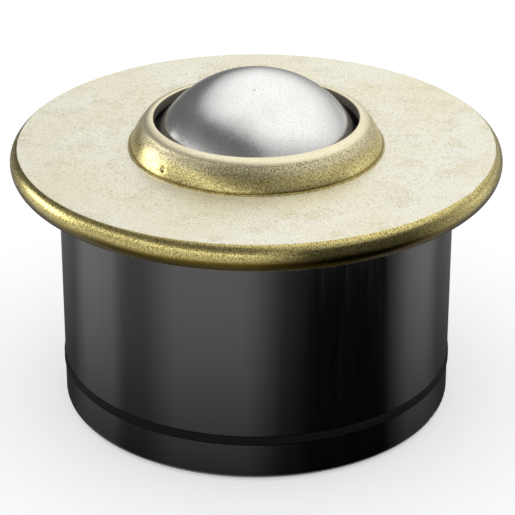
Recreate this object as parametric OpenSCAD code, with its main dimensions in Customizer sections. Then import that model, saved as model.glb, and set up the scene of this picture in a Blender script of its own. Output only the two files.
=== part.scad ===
// Ball transfer unit: a load ball rolls on a bed of small balls in a hardened cup.
// A drawn body holds the cup, and a pressed cap is rolled round the body's flange.
// Millimetres, +Z up. The origin lies on the axis, in the seat plane under the flange.

/* [Load ball] */
// Diameter of the load ball
load_ball_d = 22.225; // [20:0.025:24]
// Height of the top of the load ball over the seat plane
ball_top_h = 9.9; // [9.2:0.1:10.4]

/* [Support balls] */
// Diameter of one support ball
support_ball_d = 4.7625; // [4.2:0.0125:5.2]
// Rows of support balls, from the pole of the cup upwards
bed_rows = 5; // [2:1:5]
// Running gap on either side of a support ball
running_gap = 0.05; // [0.02:0.01:0.1]
// Gap between neighbouring support balls
bed_gap = 0.04; // [0.02:0.01:0.2]

/* [Ball cup] */
// Wall of the cup at its rim
cup_rim_wall = 2.225; // [1.5:0.025:3]
// Depth of the cup's rim under the seat plane
cup_rim_depth = 0.5; // [0.3:0.1:1]
// Depth of the cup's straight outer wall
cup_skirt_h = 9.5; // [7:0.5:11]
// Diameter of the flat pad under the cup
cup_pad_d = 20; // [14:1:24]
// Bevel on the outer edge of the cup's rim
cup_bevel = 0.3; // [0.1:0.05:0.5]

/* [Body] */
// Wall of the drawn body
body_wall = 1.1; // [0.8:0.1:1.5]
// Thickness of the body's closed bottom
body_floor_t = 1.1; // [0.8:0.1:2]
// Depth of the body under the seat plane
body_depth = 24; // [22:0.1:28]
// Rounding of the body's bottom edge
foot_round = 0.9; // [0.3:0.1:1]
// Bend radius under the body's flange
flange_bend = 0.8; // [0.5:0.05:0.9]
// Clearance of a piece that is slipped into or over another
fit_gap = 0.05; // [0.02:0.01:0.1]

/* [Grip ring] */
// Width of the grip ring along the axis
ring_w = 0.9; // [0.6:0.1:2]
// Radial thickness of the grip ring
ring_t = 0.55; // [0.3:0.05:0.7]
// How far the grip ring stands proud of the body
ring_proud = 0.1; // [0.05:0.01:0.2]
// Height of the ring's middle over the foot
ring_h = 4.4; // [2.5:0.1:8]
// Rounding of the ring's outer edges
ring_round = 0.12; // [0.05:0.01:0.2]

/* [Cap] */
// Thickness of the cap's sheet
sheet_t = 0.9; // [0.7:0.05:1]
// Thickness of the whole flange
flange_t = 2.9; // [2.6:0.1:3.4]
// How far the flange stands out past the body
flange_overhang = 4.65; // [4:0.05:7]
// Angle over level of the rim's outward direction where the flat top ends
rim_break = 58; // [40:1:80]
// Gap between the body's bend and the rolled edge of the cap
curl_gap = 0.25; // [0.1:0.05:0.5]
// How far the flat top falls from the rim to the collar
dish = 0.25; // [0:0.05:0.4]
// Height of the collar's lip over the rim
lip_h = 2.65; // [1.8:0.05:3]
// Slope of the collar
collar_angle = 61; // [58:0.5:64]
// Running gap between the collar and the load ball
collar_gap = 0.75; // [0.6:0.01:0.9]
// Width of the top of the lip, out to where it would meet the collar's slope
lip_land = 0.84; // [0.78:0.02:0.96]
// Rounding of the lip's inner edge
lip_round = 0.12; // [0.06:0.02:0.2]
// Height of the small step round the collar's foot
step_h = 0.16; // [0.05:0.01:0.25]
// Width of that step
step_w = 0.15; // [0.05:0.05:0.3]

/* [Hidden] */
$fn = 96;

load_r = load_ball_d / 2;
ball_z = ball_top_h - load_r;

// The bed of support balls and the race that it rolls in
support_r = support_ball_d / 2;
bed_r = load_r + running_gap + support_r;
race_r = bed_r + support_r + running_gap;
pitch_r = support_r + bed_gap / 2;
row_step = 2 * asin(pitch_r / bed_r);

// A row holds as many balls as its circle takes, and the pole holds one
function row_count(row) = row == 0 ? 1 : floor(180 / asin(pitch_r / (bed_r * sin(row * row_step))));
ball_places = [for (row = [0 : bed_rows - 1]) for (i = [0 : row_count(row) - 1]) [row, i]];
function ball_name(n) = str("support_ball_", n < 10 ? "0" : "", n);

// Radii from the axis outwards
cup_r = race_r + cup_rim_wall;
body_inner_r = cup_r + fit_gap;
body_r = body_inner_r + body_wall;
flange_r = body_r + flange_overhang;

// The body's flange fills the room inside the cap's rolled edge
body_flange_z = sheet_t;
body_flange_t = flange_t - 2 * sheet_t;
body_flange_top = body_flange_z + body_flange_t;
rim_r = flange_t / (1 + sin(rim_break));
rim_middle_r = flange_r - rim_r;
flat_end_r = rim_middle_r + rim_r * cos(rim_break);
body_flange_r = rim_middle_r;
curl_r = body_r + flange_bend + curl_gap;
foot_z = -body_depth;
floor_z = foot_z + body_floor_t;

// The collar's faces are cones that clear the ball: a cone at distance away from
// the ball's middle has the radius cone_r(away, z) at the height z
function cone_r(away, z) = (away - (z - ball_z) * cos(collar_angle)) / sin(collar_angle);
inner_away = load_r + collar_gap;
outer_away = inner_away + sheet_t;
lip_z = flange_t + lip_h;
base_z = flange_t - dish;
corner_r = cone_r(outer_away, lip_z);
lip_r = corner_r - lip_land;
collar_r = cone_r(outer_away, base_z + step_h);
shoulder_run = lip_land - 1.5 * lip_round; // leaves a narrow flat on the lip
shoulder_r = shoulder_run / tan(collar_angle / 2);
lip_under_z = lip_z - sheet_t;
under_z = base_z - sheet_t;

// The grip ring's groove
ring_z = foot_z + ring_h;
ring_out_r = body_r + ring_proud;
ring_in_r = ring_out_r - ring_t;
groove_r = ring_in_r - fit_gap;
groove_w = ring_w + 2 * fit_gap;

// The bend of a sheet at [r, z]: a block with a quarter round of the bend's radius taken
// away. Added, it fills the corner under a flange; cut, it rounds an upper inner edge.
module bend(r, z, radius) {
    difference() {
        translate([r - radius, z - radius]) square(2 * radius);
        translate([r + radius, z - radius]) circle(r = radius);
    }
}

// What rounds an outer corner: the points run round the corner, from where the
// rounding starts to where it ends, and middle and radius are those of the rounding
// (the cut reaches past the corner, so that no sliver is left there)
module corner_cut(middle, radius, points) {
    past_corner = 1.5;
    difference() {
        polygon(concat([middle], [for (p = points) middle + past_corner * (p - middle)]));
        translate(middle) circle(r = radius);
    }
}

// The cap's sheet: lip, cone round the ball, dished flat, and the edge that is
// rolled under the body's flange
module cap() {
    corner = [corner_r, lip_z];
    down_slope = [cos(collar_angle), -sin(collar_angle)];
    shoulder_start = corner - [shoulder_run, 0];
    flat_end = [flat_end_r, flange_t];
    color([0.86, 0.83, 0.66]) rotate_extrude() difference() {
        polygon([
            [lip_r, lip_under_z],
            [lip_r, lip_z],
            corner,
            [collar_r, base_z + step_h],
            [collar_r + step_w, base_z + step_h],
            [collar_r + step_w, base_z],
            flat_end,
            [flange_r, flange_t],
            [flange_r, 0],
            [curl_r, 0],
            [curl_r, body_flange_top],
            [body_inner_r, body_flange_top],
            [cone_r(inner_away, under_z), under_z],
            [cone_r(inner_away, lip_under_z), lip_under_z]
        ]);
        translate([body_inner_r, body_flange_z])
            square([body_flange_r + fit_gap - body_inner_r, body_flange_t]);
        bend(lip_r, lip_z, lip_round);
        corner_cut(shoulder_start - [0, shoulder_r], shoulder_r,
            [shoulder_start, corner, corner + shoulder_run * down_slope]);
        corner_cut([rim_middle_r, rim_r], rim_r,
            [flat_end, [flange_r, flange_t], [flange_r, 0], [rim_middle_r, 0]]);
    }
}

// The drawn body: closed bottom, straight wall, flange with its bends, ring groove
module body_cup() {
    color([0.16, 0.16, 0.17]) rotate_extrude() difference() {
        union() {
            translate([0, foot_z + foot_round])
                square([body_r, body_flange_top - foot_z - foot_round]);
            translate([0, foot_z]) square([body_r - foot_round, foot_round]);
            translate([body_r - foot_round, foot_z + foot_round]) circle(r = foot_round);
            translate([0, body_flange_z]) square([body_flange_r, body_flange_t]);
            bend(body_r, body_flange_z, flange_bend);
        }
        translate([0, floor_z]) square([body_inner_r, body_flange_top - floor_z]);
        bend(body_inner_r, body_flange_top, body_flange_t);
        translate([groove_r, ring_z - groove_w / 2]) square([body_r - groove_r, groove_w]);
    }
}

// The hardened cup: a hemispherical race above a flat pad that stands on the floor
module ball_cup() {
    color([0.55, 0.56, 0.58]) rotate_extrude() difference() {
        polygon([
            [0, floor_z],
            [cup_pad_d / 2, floor_z],
            [cup_r, -cup_rim_depth - cup_skirt_h],
            [cup_r, -cup_rim_depth - cup_bevel],
            [cup_r - cup_bevel, -cup_rim_depth],
            [0, -cup_rim_depth]
        ]);
        translate([0, ball_z]) circle(r = race_r);
        translate([0, ball_z]) square([race_r, load_r]);
    }
}

// The elastic ring in the body's groove
module grip_ring() {
    color([0.05, 0.05, 0.05]) rotate_extrude() {
        translate([ring_in_r, ring_z - ring_w / 2]) square([ring_t - ring_round, ring_w]);
        translate([ring_in_r, ring_z - ring_w / 2 + ring_round]) square([ring_t, ring_w - 2 * ring_round]);
        for (side = [-1, 1])
            translate([ring_out_r - ring_round, ring_z + side * (ring_w / 2 - ring_round)])
                circle(r = ring_round);
    }
}

module load_ball() {
    color([0.78, 0.79, 0.8]) translate([0, 0, ball_z]) sphere(r = load_r);
}

// One support ball: its row gives the angle from the pole, its index the turn
module support_ball(place) {
    row = place[0];
    turn = 360 * (place[1] + (row % 2) / 2) / row_count(row);
    color([0.7, 0.71, 0.73])
        translate([0, 0, ball_z])
        rotate([0, 0, turn])
        translate([bed_r * sin(row * row_step), 0, -bed_r * cos(row * row_step)])
        sphere(r = support_r);
}

cap();
body_cup();
ball_cup();
grip_ring();
load_ball();
for (n = [1 : len(ball_places)])
    support_ball(ball_places[n - 1]);
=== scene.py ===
"""The looks of a ball transfer unit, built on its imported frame.

The cap and the load ball are remade as finer meshes with the marks of use that they
carry, and every surface gets its finish. Lengths are in millimetres until they reach
Blender, and azimuths run from the front, -Y, towards +X.
"""

import math

import bmesh
import bpy
import numpy as np
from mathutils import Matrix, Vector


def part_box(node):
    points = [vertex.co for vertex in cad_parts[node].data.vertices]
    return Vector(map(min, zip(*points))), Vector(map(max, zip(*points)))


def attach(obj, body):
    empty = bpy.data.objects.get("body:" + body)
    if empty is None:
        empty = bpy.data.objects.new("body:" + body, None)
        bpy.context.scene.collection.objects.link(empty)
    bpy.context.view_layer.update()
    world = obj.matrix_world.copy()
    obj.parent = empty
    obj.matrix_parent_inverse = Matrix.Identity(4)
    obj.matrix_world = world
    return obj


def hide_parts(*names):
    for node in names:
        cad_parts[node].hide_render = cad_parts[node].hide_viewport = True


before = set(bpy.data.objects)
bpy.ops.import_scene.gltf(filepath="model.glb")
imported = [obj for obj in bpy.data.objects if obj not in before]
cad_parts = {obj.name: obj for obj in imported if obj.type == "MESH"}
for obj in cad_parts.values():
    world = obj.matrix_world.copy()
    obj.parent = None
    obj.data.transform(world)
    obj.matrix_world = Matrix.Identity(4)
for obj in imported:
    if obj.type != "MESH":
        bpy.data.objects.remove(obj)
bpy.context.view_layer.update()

MM = 0.001


# ---------------------------------------------------------------- sizes, in millimetres

def box_mm(node):
    """Lowest and highest corner of a node of the frame, in millimetres."""
    return [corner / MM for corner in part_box(node)]


cap_high = box_mm("cap")[1]
body_low, body_high = box_mm("body_cup")
ball_low, ball_high = box_mm("load_ball")

FLANGE_R = cap_high.x
LIP_Z = cap_high.z
LOAD_R = (ball_high.z - ball_low.z) / 2
BALL_Z = ball_high.z - LOAD_R
FOOT_Z = body_low.z
BODY_TOP = body_high.z
BODY_FLANGE_R = body_high.x
BODY_R = 19.35       # the body's wall

SHEET_T = 0.9        # the cap's sheet
FLANGE_T = 2.9       # the whole flange
RIM_BREAK = 58       # degrees over level at which the flat top ends
DISH = 0.25          # fall of the flat top towards the collar
COLLAR_ANGLE = 61    # slope of the collar
COLLAR_GAP = 0.75    # between the collar and the ball
LIP_LAND = 0.84      # top of the lip, out to where it would meet the slope
LIP_ROUND = 0.12     # its inner edge
STEP_H = 0.16        # the small step round the collar's foot
STEP_W = 0.15
CURL_R = 20.4        # inner edge of the rolled rim
CROWN = 0.09         # how far the collar's slope is rounded outwards

SHARP = 25           # degrees between faces from which an edge stays sharp
SAME_PLACE = 0.001   # points closer than this are one
COARSE_TURN = 0.5    # degrees between two sections of the cap
FINE_TURN = 0.125    # the same, near a mark of use

# Marks of use on the cap: where each one is, how far it reaches along the round and
# across the section, how deep it goes, and for how many degrees the mesh is fine there
MARKS = [
    # a dent low on the collar
    {"azimuth": -47, "r": 12.0, "z": 3.5, "along": 0.45, "across": 0.4,
     "inwards": 0.1, "down": 0.07, "fine": 3},
    # a chipped place on the left of the rim
    {"azimuth": -91, "r": 23.5, "z": 2.8, "along": 0.4, "across": 0.6,
     "inwards": 0.12, "down": 0.15, "fine": 2},
    # a knock that flattened the edge of the flat top
    {"azimuth": 59, "r": 23.3, "z": 2.9, "along": 1.6, "across": 0.9,
     "inwards": 0.0, "down": 0.13, "fine": 4},
]


def cone_r(away, z):
    """Radius at the height z of the cone that keeps the distance away from the ball's middle."""
    slope = math.radians(COLLAR_ANGLE)
    return (away - (z - BALL_Z) * math.cos(slope)) / math.sin(slope)


INNER_AWAY = LOAD_R + COLLAR_GAP
OUTER_AWAY = INNER_AWAY + SHEET_T
BASE_Z = FLANGE_T - DISH
RIM_R = FLANGE_T / (1 + math.sin(math.radians(RIM_BREAK)))
RIM_MIDDLE_R = FLANGE_R - RIM_R
FLAT_END_R = RIM_MIDDLE_R + RIM_R * math.cos(math.radians(RIM_BREAK))
CORNER_R = cone_r(OUTER_AWAY, LIP_Z)
LIP_R = CORNER_R - LIP_LAND
COLLAR_R = cone_r(OUTER_AWAY, BASE_Z + STEP_H)


# ---------------------------------------------------------------- meshes

def line(start, end, steps):
    """Points along a straight stretch, without its last one."""
    return [tuple(np.add(start, np.subtract(end, start) * i / steps)) for i in range(steps)]


def arc(middle, radius, start, end, steps):
    """Points along an arc between two angles in degrees, without the last one."""
    angles = [math.radians(start + (end - start) * i / steps) for i in range(steps)]
    return [(middle[0] + radius * math.cos(a), middle[1] + radius * math.sin(a)) for a in angles]


def crowned(start, end, steps):
    """A straight stretch that swells outwards by CROWN at its middle."""
    slope = math.radians(COLLAR_ANGLE)
    out = (math.sin(slope), math.cos(slope))
    points = line(start, end, steps)
    swelling = [4 * CROWN * i / steps * (1 - i / steps) for i in range(steps)]
    return [tuple(np.add(p, np.multiply(out, by))) for p, by in zip(points, swelling)]


def mesh_object(name, points, faces, smooth=True):
    """A mesh from points in millimetres."""
    mesh = bpy.data.meshes.new(name)
    mesh.from_pydata([tuple(p) for p in np.asarray(points) * MM], [], faces)
    mesh.polygons.foreach_set("use_smooth", [smooth] * len(mesh.polygons))
    mesh.update()
    if smooth:
        mesh.set_sharp_from_angle(angle=math.radians(SHARP))
    piece = bpy.data.objects.new(name, mesh)
    bpy.context.scene.collection.objects.link(piece)
    return piece


def turned(name, outline, turns, shape=None):
    """A closed outline of (radius, height) points turned round the axis.

    shape(azimuth, points) may move the points of one section.
    """
    points = []
    for azimuth in turns:
        section = np.array(outline, float)
        if shape:
            section = shape(azimuth, section)
        a = math.radians(azimuth)
        points += [(r * math.sin(a), -r * math.cos(a), z) for r, z in section]
    count, rounds = len(outline), len(turns)
    faces = []
    for i in range(rounds):
        here, there = i * count, (i + 1) % rounds * count
        for j in range(count):
            k = (j + 1) % count
            faces.append((here + j, there + j, there + k, here + k))
    return mesh_object(name, points, faces)


def cap_outline():
    """The cap's section: over the lip, down the collar, along the flat, round the rim, back inside."""
    shoulder_run = LIP_LAND - 1.5 * LIP_ROUND  # leaves a narrow flat on the lip
    slope = math.radians(COLLAR_ANGLE)
    shoulder_r = shoulder_run / math.tan(slope / 2)
    shoulder = (CORNER_R - shoulder_run, LIP_Z - shoulder_r)
    cone_top = (CORNER_R + shoulder_run * math.cos(slope), LIP_Z - shoulder_run * math.sin(slope))
    under_z = LIP_Z - SHEET_T
    under_r = cone_r(INNER_AWAY, under_z)
    step_z = BASE_Z + STEP_H
    step_r = COLLAR_R + STEP_W
    return (
        line((LIP_R, under_z), (LIP_R, LIP_Z - LIP_ROUND), 4)
        + arc((LIP_R + LIP_ROUND, LIP_Z - LIP_ROUND), LIP_ROUND, 180, 90, 6)
        + arc(shoulder, shoulder_r, 90, 90 - COLLAR_ANGLE, 12)
        + crowned(cone_top, (COLLAR_R, step_z), 20)
        + line((COLLAR_R, step_z), (step_r, step_z), 2)
        + line((step_r, step_z), (step_r, BASE_Z), 2)
        + line((step_r, BASE_Z), (FLAT_END_R, FLANGE_T), 16)
        + arc((RIM_MIDDLE_R, RIM_R), RIM_R, RIM_BREAK, -90, 30)
        + line((RIM_MIDDLE_R, 0), (CURL_R, 0), 3)
        + line((CURL_R, 0), (CURL_R, SHEET_T), 2)
        + line((CURL_R, SHEET_T), (BODY_FLANGE_R, SHEET_T), 2)
        + line((BODY_FLANGE_R, SHEET_T), (BODY_FLANGE_R, BODY_TOP), 2)
        + line((BODY_FLANGE_R, BODY_TOP), (cone_r(INNER_AWAY, BODY_TOP), BODY_TOP), 3)
        + line((cone_r(INNER_AWAY, BODY_TOP), BODY_TOP), (under_r, under_z), 6)
        + line((under_r, under_z), (LIP_R, under_z), 2)
    )


def hump(distance, width):
    """A smooth bump of height 1 at no distance, gone at the given half width."""
    return 0.5 + 0.5 * math.cos(math.pi * min(abs(distance) / width, 1))


def marked(azimuth, section):
    """Presses the marks of use into the cap's section at an azimuth."""
    for mark in MARKS:
        turn = math.radians(azimuth - mark["azimuth"])
        for point in section:
            r, z = point
            along = r * turn
            across = math.hypot(r - mark["r"], z - mark["z"])
            depth = hump(along, mark["along"]) * hump(across, mark["across"])
            point -= (mark["inwards"] * depth, mark["down"] * depth)
    return section


def make_cap():
    """The cap, with the marks that handling left on it."""
    turns = []
    azimuth = -180.0
    while azimuth < 180:
        turns.append(azimuth)
        near_mark = any(abs(azimuth - mark["azimuth"]) < mark["fine"] for mark in MARKS)
        azimuth += FINE_TURN if near_mark else COARSE_TURN
    return turned("cap_shell", cap_outline(), turns, marked)


def make_ball():
    """A sphere from a cube, so that no poles show."""
    steps = 72  # faces along an edge of the cube
    ticks = np.tan(np.linspace(-math.pi / 4, math.pi / 4, steps + 1))
    points, faces = [], []
    for axis in range(3):
        for side in (-1, 1):
            first = len(points)
            for u in ticks:
                for v in ticks:
                    corner = np.insert(np.array([u, v * side]), axis, side)
                    points.append(corner / np.linalg.norm(corner) * LOAD_R + (0, 0, BALL_Z))
            for i in range(steps):
                for j in range(steps):
                    k = first + i * (steps + 1) + j
                    quad = (k, k + steps + 1, k + steps + 2, k + 1)
                    faces.append(quad if axis != 1 else quad[::-1])
    piece = mesh_object("load_ball_fine", points, faces)
    work = bmesh.new()
    work.from_mesh(piece.data)
    bmesh.ops.remove_doubles(work, verts=work.verts, dist=SAME_PLACE * MM)
    bmesh.ops.recalc_face_normals(work, faces=work.faces)
    work.to_mesh(piece.data)
    work.free()
    return piece


# ---------------------------------------------------------------- materials

def tone(red, green, blue):
    """A display colour of 0 to 255 as the shader's linear one."""
    parts = [c / 255 for c in (red, green, blue)]
    return [c / 12.92 if c <= 0.04045 else ((c + 0.055) / 1.055) ** 2.4 for c in parts] + [1.0]


def empty_material(name):
    """A new material without nodes, and its tree."""
    material = bpy.data.materials.new(name)
    material.use_nodes = True
    material.node_tree.nodes.clear()
    return material, material.node_tree


class Finish:
    """A material with a Principled shader and one short call for each node."""

    def __init__(self, name):
        self.material, self.tree = empty_material(name)
        self.surface = self.node("BsdfPrincipled")
        self.node("OutputMaterial", {"Surface": self.surface.outputs["BSDF"]})
        place = self.node("TexCoord").outputs["Object"]
        in_mm = self.node("VectorMath", {"Vector": place, "Scale": 1 / MM}, operation="SCALE")
        self.mm = in_mm.outputs[0]
        x, y, self.height = self.node("SeparateXYZ", [self.mm]).outputs
        squares = self.math("ADD", self.math("MULTIPLY", x, x), self.math("MULTIPLY", y, y))
        self.radius = self.math("SQRT", squares)

    def node(self, kind, inputs=(), **settings):
        """A node with settings, and inputs that are numbers or the outputs of other nodes."""
        node = self.tree.nodes.new("ShaderNode" + kind)
        for key, value in settings.items():
            setattr(node, key, value)
        named = inputs.items() if isinstance(inputs, dict) else enumerate(inputs)
        for key, value in named:
            self.feed(node.inputs[key], value)
        return node

    def feed(self, socket, value):
        """Links a socket to an output or sets it to a value, and leaves it as it is for None."""
        if value is None:
            return
        if isinstance(value, bpy.types.NodeSocket):
            self.tree.links.new(value, socket)
        else:
            socket.default_value = value

    def noise(self, scale, detail=2, roughness=0.5, stretch=None):
        """Noise of about 1 / scale millimetres."""
        where = self.mm
        if stretch:
            where = self.node("VectorMath", [where, stretch], operation="MULTIPLY").outputs[0]
        return self.node("TexNoise", {"Vector": where, "Scale": scale, "Detail": detail,
                                      "Roughness": roughness}).outputs["Fac"]

    def span(self, value, low, high, to_low=0.0, to_high=1.0):
        """Carries value from low..high to to_low..to_high, smoothly and clamped."""
        return self.node("MapRange", [value, low, high, to_low, to_high],
                         interpolation_type="SMOOTHSTEP").outputs[0]

    def band(self, value, rise, top, fall, end):
        """1 between top and fall, and 0 before rise and after end."""
        return self.math("MULTIPLY", self.span(value, rise, top), self.span(value, fall, end, 1.0, 0.0))

    def spot(self, where, size):
        """1 at a place in millimetres, and 0 from size away."""
        away = self.node("VectorMath", [self.mm, where], operation="DISTANCE").outputs["Value"]
        return self.span(away, 0.4 * size, size, 1.0, 0.0)

    def math(self, operation, a, b=None):
        """The result of a Math node."""
        return self.node("Math", [a, b], operation=operation).outputs[0]

    def mix(self, factor, a, b):
        """The colour a where the factor is 0, and b where it is 1."""
        node = self.node("Mix", data_type="RGBA")
        for name, value in (("Factor_Float", factor), ("A_Color", a), ("B_Color", b)):
            self.feed(next(i for i in node.inputs if i.identifier == name), value)
        return next(o for o in node.outputs if o.identifier == "Result_Color")

    def bump(self, height, depth_mm):
        """The normal of a fine relief."""
        relief = {"Height": height, "Distance": depth_mm * MM, "Strength": 1.0}
        return self.node("Bump", relief).outputs["Normal"]

    def set(self, **values):
        """Feeds the shader's sockets, named with _ for a blank."""
        for key, value in values.items():
            self.feed(self.surface.inputs[key.replace("_", " ")], value)


def flat_tone(finish):
    """The flat top: pale, mottled, speckled, and worn to a deeper tone in places."""
    cloud = finish.noise(0.16, detail=2)
    speck = finish.noise(4.2, detail=2, roughness=0.7)
    worn = finish.math("MULTIPLY", finish.span(finish.noise(0.33, detail=3), 0.5, 0.66),
                       finish.span(finish.noise(5.5, detail=3, roughness=0.8), 0.44, 0.62))
    flat = finish.mix(finish.span(cloud, 0.35, 0.65), tone(250, 245, 219), tone(254, 252, 236))
    flat = finish.mix(finish.span(speck, 0.5, 0.74, 0.0, 0.75), flat, tone(196, 182, 122))
    return finish.mix(finish.math("MULTIPLY", worn, 0.6), flat, tone(206, 188, 122))


def collar_tone(finish):
    """The collar: a painted highlight on its lip, painted shade deeper down its slope and darkest in
    the crease at its foot.
    """
    r, z = finish.radius, finish.height
    # painted light: the slope grows paler towards the lip and deeper towards its foot
    slope = finish.mix(finish.span(z, 3.7, 5.0), tone(228, 213, 150), tone(252, 243, 204))
    slope = finish.mix(finish.span(z, LIP_Z - 0.5, LIP_Z - 0.1), slope, tone(249, 240, 208))
    # painted shade: a dark line in the crease at the collar's foot
    crease = finish.band(r, COLLAR_R - 0.1, COLLAR_R, COLLAR_R + 0.08, COLLAR_R + 0.15)
    return finish.mix(finish.math("MULTIPLY", crease, 0.7), slope, tone(112, 96, 44))


def rim_tone(finish):
    """The rolled rim: deepest low down, as painted shade on its lower half."""
    # painted shade: the rim darkens towards its underside
    return finish.mix(finish.span(finish.height, 1.1, 2.0), tone(86, 72, 26), tone(236, 221, 150))


def in_bore(finish):
    """1 on the cap's inner face, a cone round the ball, and 0 on the outside."""
    slope = math.radians(COLLAR_ANGLE)
    over_ball = finish.math("SUBTRACT", finish.height, BALL_Z)
    away = finish.math("ADD", finish.math("MULTIPLY", finish.radius, math.sin(slope)),
                       finish.math("MULTIPLY", over_ball, math.cos(slope)))
    return finish.span(away, INNER_AWAY + 0.12, INNER_AWAY + 0.2, 1.0, 0.0)


def plated_cap():
    """Yellow zinc on pressed steel: pale on the flat top, deeper gold where the sheet was formed, with
    painted light and shade on the collar and rim.
    """
    finish = Finish("plated_cap")
    z = finish.height
    grain = finish.noise(7.0, detail=3, roughness=0.65)
    pepper = finish.noise(8.5, detail=2, roughness=0.7)
    on_slope = finish.span(finish.radius, COLLAR_R + 0.14, COLLAR_R + 0.24, 1.0, 0.0)
    on_rim = finish.span(finish.radius, FLAT_END_R - 0.03, FLAT_END_R + 0.08)
    formed = finish.math("MAXIMUM", on_slope, on_rim)
    bore = in_bore(finish)

    colour = finish.mix(on_slope, flat_tone(finish), collar_tone(finish))
    colour = finish.mix(on_rim, colour, rim_tone(finish))
    colour = finish.mix(finish.span(grain, 0.5, 0.72, 0.0, 0.35), colour, tone(120, 104, 46))
    # dark pepper on all that was formed, up to the lip
    peppered = finish.math("MULTIPLY", formed, finish.span(z, LIP_Z - 0.6, LIP_Z - 0.2, 1.0, 0.0))
    colour = finish.mix(finish.math("MULTIPLY", peppered, finish.span(pepper, 0.47, 0.58, 0.0, 0.8)),
                        colour, tone(110, 90, 24))
    # the inner face round the ball is grey, darker than the plating: painted shade of the gap
    inner = finish.mix(finish.span(z, 4.4, 5.1), tone(122, 120, 116), tone(116, 110, 96))
    colour = finish.mix(bore, colour, inner)

    # the flat and the top of the collar are duller than the rest
    dull = finish.math("MAXIMUM", finish.span(formed, 0.0, 1.0, 0.1, 0.0),
                       finish.span(z, 4.0, 5.0, 0.0, 0.16))
    # the flat, the rim's underside and the inner face shine less like metal
    less_metal = finish.math("ADD", finish.span(formed, 0.0, 1.0, 0.45, 0.0),
                             finish.math("MULTIPLY", on_rim, finish.span(z, 0.4, 1.1, 0.45, 0.0)))
    finish.set(
        Base_Color=colour,
        Metallic=finish.math("SUBTRACT", finish.span(bore, 0.0, 1.0, 1.0, 0.3), less_metal),
        Roughness=finish.math("ADD", finish.span(grain, 0.3, 0.7, 0.2, 0.32), dull),
        Normal=finish.bump(grain, 0.009),
    )
    return finish.material


def black_body():
    """Black finish on the drawn body, with faint marks of the drawing along the axis."""
    finish = Finish("black_body")
    streak = finish.noise(1.6, detail=3, stretch=(1.0, 1.0, 0.05))
    grain = finish.noise(6.0, detail=2)
    finish.set(
        Base_Color=finish.mix(grain, tone(6, 6, 7), tone(12, 12, 13)),
        Roughness=finish.span(streak, 0.3, 0.7, 0.14, 0.22),
        Specular_IOR_Level=1.0,
        Normal=finish.bump(grain, 0.0008),
    )
    return finish.material


def cup_steel():
    """Turned steel of the hidden cup, with fine rings round the axis."""
    finish = Finish("cup_steel")
    rings = finish.noise(3.0, detail=3, stretch=(0.1, 0.1, 1.0))
    finish.set(
        Base_Color=finish.mix(rings, tone(150, 150, 154), tone(178, 178, 181)),
        Metallic=1.0,
        Roughness=finish.span(rings, 0.3, 0.7, 0.25, 0.4),
    )
    return finish.material


def ball_steel():
    """Lapped ball steel, run in: a fine satin grain and a few pits."""
    finish = Finish("ball_steel")
    grain = finish.noise(6.5, detail=3, roughness=0.7)
    cloud = finish.noise(0.35, detail=3)
    pits = finish.span(finish.noise(5.0, detail=0), 0.83, 0.88, 0.0, 0.5)
    largest_pit = (-0.2, -3.1, BALL_Z + 10.67)
    pits = finish.math("MAXIMUM", pits, finish.spot(largest_pit, 0.16))
    dust = finish.noise(9.0, detail=2, roughness=0.7)
    colour = finish.mix(finish.span(cloud, 0.3, 0.7), tone(240, 240, 237), tone(248, 248, 246))
    colour = finish.mix(finish.span(dust, 0.48, 0.68, 0.0, 0.34), colour, tone(140, 140, 136))
    finish.set(
        Base_Color=finish.mix(finish.math("MULTIPLY", pits, 0.6), colour, tone(96, 96, 98)),
        Metallic=1.0,
        Roughness=finish.span(grain, 0.3, 0.7, 0.17, 0.27),
        Normal=finish.bump(grain, 0.0026),
    )
    return finish.material


def ring_rubber():
    """Matt black rubber."""
    finish = Finish("ring_rubber")
    grain = finish.noise(9.0, detail=2)
    finish.set(
        Base_Color=finish.mix(grain, tone(6, 6, 6), tone(12, 12, 12)),
        Roughness=finish.span(grain, 0.3, 0.7, 0.6, 0.8),
        Specular_IOR_Level=0.2,
        Normal=finish.bump(grain, 0.002),
    )
    return finish.material


def dress(piece, material):
    """Gives every slot of a piece the material."""
    if not piece.data.materials:
        piece.data.materials.append(material)
    for slot in piece.material_slots:
        slot.material = material


# ---------------------------------------------------------------- studio

WORLD_LIGHT = 0.8      # strength of the world's light on the unit
FLOOR_COLOUR = 0.8     # a neutral grey's red, green and blue
FLOOR_GLOW = 0.42      # what the floor adds to its lit colour to reach white
FLOOR_HALF = 3000.0    # half the floor's width
FLOOR_GAP = 0.02       # the floor lies this far under the foot
CARD_LIFT = 0.03       # the floor card lies this far over the foot's level
CARD_STEP = 2          # degrees between the lines of a card
DOME_R = 400.0         # the dome of light round the unit
FLAG_R = 34.0          # the dark flag on the right, bent round the unit


def background(tree):
    """1 for the rays that see a plain white background: the camera's and those in metal or glass."""
    path = tree.nodes.new("ShaderNodeLightPath")
    seen = path.outputs["Is Camera Ray"]
    for name in ("Is Glossy Ray", "Is Transmission Ray"):
        more = tree.nodes.new("ShaderNodeMath")
        more.operation = "MAXIMUM"
        tree.links.new(seen, more.inputs[0])
        tree.links.new(path.outputs[name], more.inputs[1])
        seen = more.outputs[0]
    return seen


def make_world():
    """Plain light from everywhere, with a white background."""
    world = bpy.data.worlds.new("studio_world")
    bpy.context.scene.world = world
    world.use_nodes = True
    tree = world.node_tree
    tree.nodes.clear()
    strength = tree.nodes.new("ShaderNodeMapRange")
    tree.links.new(background(tree), strength.inputs["Value"])
    strength.inputs["To Min"].default_value = WORLD_LIGHT
    strength.inputs["To Max"].default_value = 1.0
    shader = tree.nodes.new("ShaderNodeBackground")
    tree.links.new(strength.outputs[0], shader.inputs["Strength"])
    shader.inputs["Color"].default_value = (1, 1, 1, 1)
    output = tree.nodes.new("ShaderNodeOutputWorld")
    tree.links.new(shader.outputs[0], output.inputs["Surface"])


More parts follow.
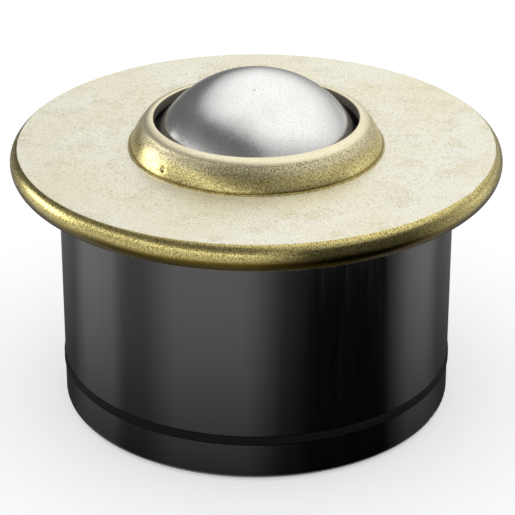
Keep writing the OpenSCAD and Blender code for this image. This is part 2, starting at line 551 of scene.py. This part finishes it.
def make_floor():
    """A pale floor that fades to white and keeps the unit's shadow."""
    sides = ((-1, -1), (1, -1), (1, 1), (-1, 1))
    corners = [(x * FLOOR_HALF, y * FLOOR_HALF, FOOT_Z) for x, y in sides]
    floor = mesh_object("floor", corners, [(0, 1, 2, 3)], smooth=False)
    floor.location.z = -FLOOR_GAP * MM
    material, tree = empty_material("floor")
    diffuse = tree.nodes.new("ShaderNodeBsdfDiffuse")
    diffuse.inputs["Color"].default_value = (FLOOR_COLOUR, FLOOR_COLOUR, FLOOR_COLOUR, 1)
    glow = tree.nodes.new("ShaderNodeEmission")
    strength = tree.nodes.new("ShaderNodeMath")
    strength.operation = "MULTIPLY"
    tree.links.new(background(tree), strength.inputs[0])
    strength.inputs[1].default_value = FLOOR_GLOW
    tree.links.new(strength.outputs[0], glow.inputs["Strength"])
    both = tree.nodes.new("ShaderNodeAddShader")
    tree.links.new(diffuse.outputs[0], both.inputs[0])
    tree.links.new(glow.outputs[0], both.inputs[1])
    output = tree.nodes.new("ShaderNodeOutputMaterial")
    tree.links.new(both.outputs[0], output.inputs["Surface"])
    floor.data.materials.append(material)


def make_camera():
    """Looks down at the unit from the front, as the photo does."""
    data = bpy.data.cameras.new("camera")
    data.lens = 164.5
    data.sensor_width = 36.0
    data.clip_start = 0.01
    camera = bpy.data.objects.new("camera", data)
    bpy.context.scene.collection.objects.link(camera)
    elevation = math.radians(26.13)
    distance = 235.1 * MM
    aim_z = -9.78 * MM
    aim_x = 0.13 * MM
    camera.location = (0, -distance * math.cos(elevation), aim_z + distance * math.sin(elevation))
    camera.rotation_euler = (math.pi / 2 - elevation, 0, -math.atan2(aim_x, distance))
    bpy.context.scene.camera = camera


def make_card(name, points, faces, light):
    """A studio card that only shiny surfaces see, with the light of each of its points."""
    card = mesh_object(name, points, faces)
    card.data.attributes.new("light", "FLOAT", "POINT").data.foreach_set("value", light)
    material, tree = empty_material(name)
    spread = tree.nodes.new("ShaderNodeAttribute")
    spread.attribute_name = "light"
    glow = tree.nodes.new("ShaderNodeEmission")
    tree.links.new(spread.outputs["Fac"], glow.inputs["Strength"])
    output = tree.nodes.new("ShaderNodeOutputMaterial")
    tree.links.new(glow.outputs[0], output.inputs["Surface"])
    card.data.materials.append(material)
    card.visible_camera = False
    card.visible_diffuse = False
    card.visible_shadow = False


def grid_faces(columns, rows):
    """Faces of a grid of points, which come column by column."""
    return [(i * rows + j, i * rows + j + 1, (i + 1) * rows + j + 1, (i + 1) * rows + j)
            for i in range(columns - 1) for j in range(rows - 1)]


def inside(value, rise, top, fall, end):
    """1 between top and fall, and 0 before rise and after end."""
    return float(np.interp(value, (rise, top, fall, end), (0, 1, 1, 0)))


def dome_light(azimuth, elevation):
    """A dark wall on the left and at the front that falls away to the back, under a bright ceiling."""
    wall_top = np.interp(azimuth, (-180, -156, -87, -60, -20, 25, 60, 100, 180),
                         (3, 26, 60, 65, 65, 49, 36, 13, 3))
    shade = np.interp(azimuth, (-120, -60, 0, 50, 100, 140, 180), (0.13, 0.3, 0.24, 0.6, 1.3, 0.7, 0.3))
    if azimuth < 10:  # darker still in the upper part of the wall
        shade = np.interp(elevation, (36, 46), (shade, 0.12))
    light = np.interp(elevation - wall_top, (-4, 0, 4, 12, 24), (shade, 0.38, 0.6, 0.82, 1.06))
    # light comes in under the wall on the left, most of it low down
    strip = np.interp(azimuth, (-118, -108, -84, -60, -30, 0), (6, 13, 24, 25, 17, 9))
    under = inside(azimuth, -112, -96, -20, 4) * np.interp(elevation - strip, (2, 12), (1, 0))
    light += (0.6 - light) * under
    # a small bright lamp at the left, a little to the back, and a bright strip from it to the front
    light += 4.2 * inside(azimuth, -124, -116, -98, -86) * inside(elevation, -2, 3, 12, 18)
    glare = np.interp(azimuth, (-100, -80, -60, -20, 0), (1.0, 0.8, 1.1, 1.3, 1.6))
    light += glare * inside(azimuth, -124, -116, 2, 14) * inside(elevation - strip, -6, -3, 3, 6)
    return light


def make_dome():
    """A dome round the unit, down to a little under the horizon."""
    azimuths = np.arange(-180, 181, CARD_STEP)
    elevations = np.arange(-8, 89, CARD_STEP)
    points, light = [], []
    for azimuth in azimuths:
        for elevation in elevations:
            a, e = math.radians(azimuth), math.radians(elevation)
            out = DOME_R * math.cos(e)
            points.append((out * math.sin(a), -out * math.cos(a), DOME_R * math.sin(e)))
            light.append(dome_light(azimuth, elevation))
    make_card("dome", points, grid_faces(len(azimuths), len(elevations)), light)


def floor_light(azimuth, away):
    """What the body mirrors: three bright cards, a dimmer wall behind two of them, black beside, and a
    painted shadow near the body.
    """
    side = 0.9 * inside(azimuth, -88, -54, -47, -42) + 0.6 * inside(azimuth, -34, -24, -3, 7)
    side += 0.4 * inside(azimuth, -50, -42, -3, 16) + 0.75 * inside(azimuth, 40, 50, 56, 88)
    side = max(side, np.interp(abs(azimuth), (60, 80), (0, 0.25)))
    # painted shadow: the cards dim near the body, as the unit's shadow on the floor would
    near = side * np.interp(away, (0, 8, 20, 40), (0.17, 0.36, 0.68, 1.1))
    far = np.interp(abs(azimuth), (60, 90), (0.8, 0.25))
    return near + (far - near) * np.interp(away, (50, 70), (0, 1))


def make_flag():
    """A dark flag on the right, close enough to be mirrored by the rolled rim alone."""
    azimuths = np.arange(2, 75, 4)
    heights = np.arange(-4, 11, 2)
    points, light = [], []
    for azimuth in azimuths:
        a = math.radians(azimuth)
        for height in heights:
            points.append((FLAG_R * math.sin(a), -FLAG_R * math.cos(a), height))
            light.append(0.6 - 0.56 * inside(azimuth, 4, 14, 48, 72))
    make_card("flag", points, grid_faces(len(azimuths), len(heights)), light)


def make_floor_card():
    """A card on the floor. Its lines run out from the body the way the body's wall mirrors them."""
    azimuths = np.arange(-180, 181, CARD_STEP)
    aways = np.concatenate((np.arange(0, 60, 4), np.geomspace(60, 700, 12)))
    points, light = [], []
    for azimuth in azimuths:
        turn = 2 * azimuth if abs(azimuth) < 60 else math.copysign(90 + abs(azimuth) / 2, azimuth)
        a, b = math.radians(azimuth), math.radians(turn)
        for away in aways:
            x = BODY_R * math.sin(a) + away * math.sin(b)
            y = -BODY_R * math.cos(a) - away * math.cos(b)
            points.append((x, y, FOOT_Z + CARD_LIFT))
            light.append(floor_light(azimuth, away))
    make_card("floor_card", points, grid_faces(len(azimuths), len(aways)), light)


# ---------------------------------------------------------------- the object

make_camera()
cap = make_cap()
ball = make_ball()
dress(cap, plated_cap())
steel = ball_steel()
dress(ball, steel)
dress(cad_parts["body_cup"], black_body())
dress(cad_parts["ball_cup"], cup_steel())
dress(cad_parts["grip_ring"], ring_rubber())
for name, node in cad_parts.items():
    if name.startswith("support_ball"):
        dress(node, steel)
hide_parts("cap")
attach(cap, "housing")
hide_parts("load_ball")
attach(ball, "load_ball")

make_world()
make_floor()
make_dome()
make_floor_card()
make_flag()
bpy.context.scene.view_settings.view_transform = "Standard"
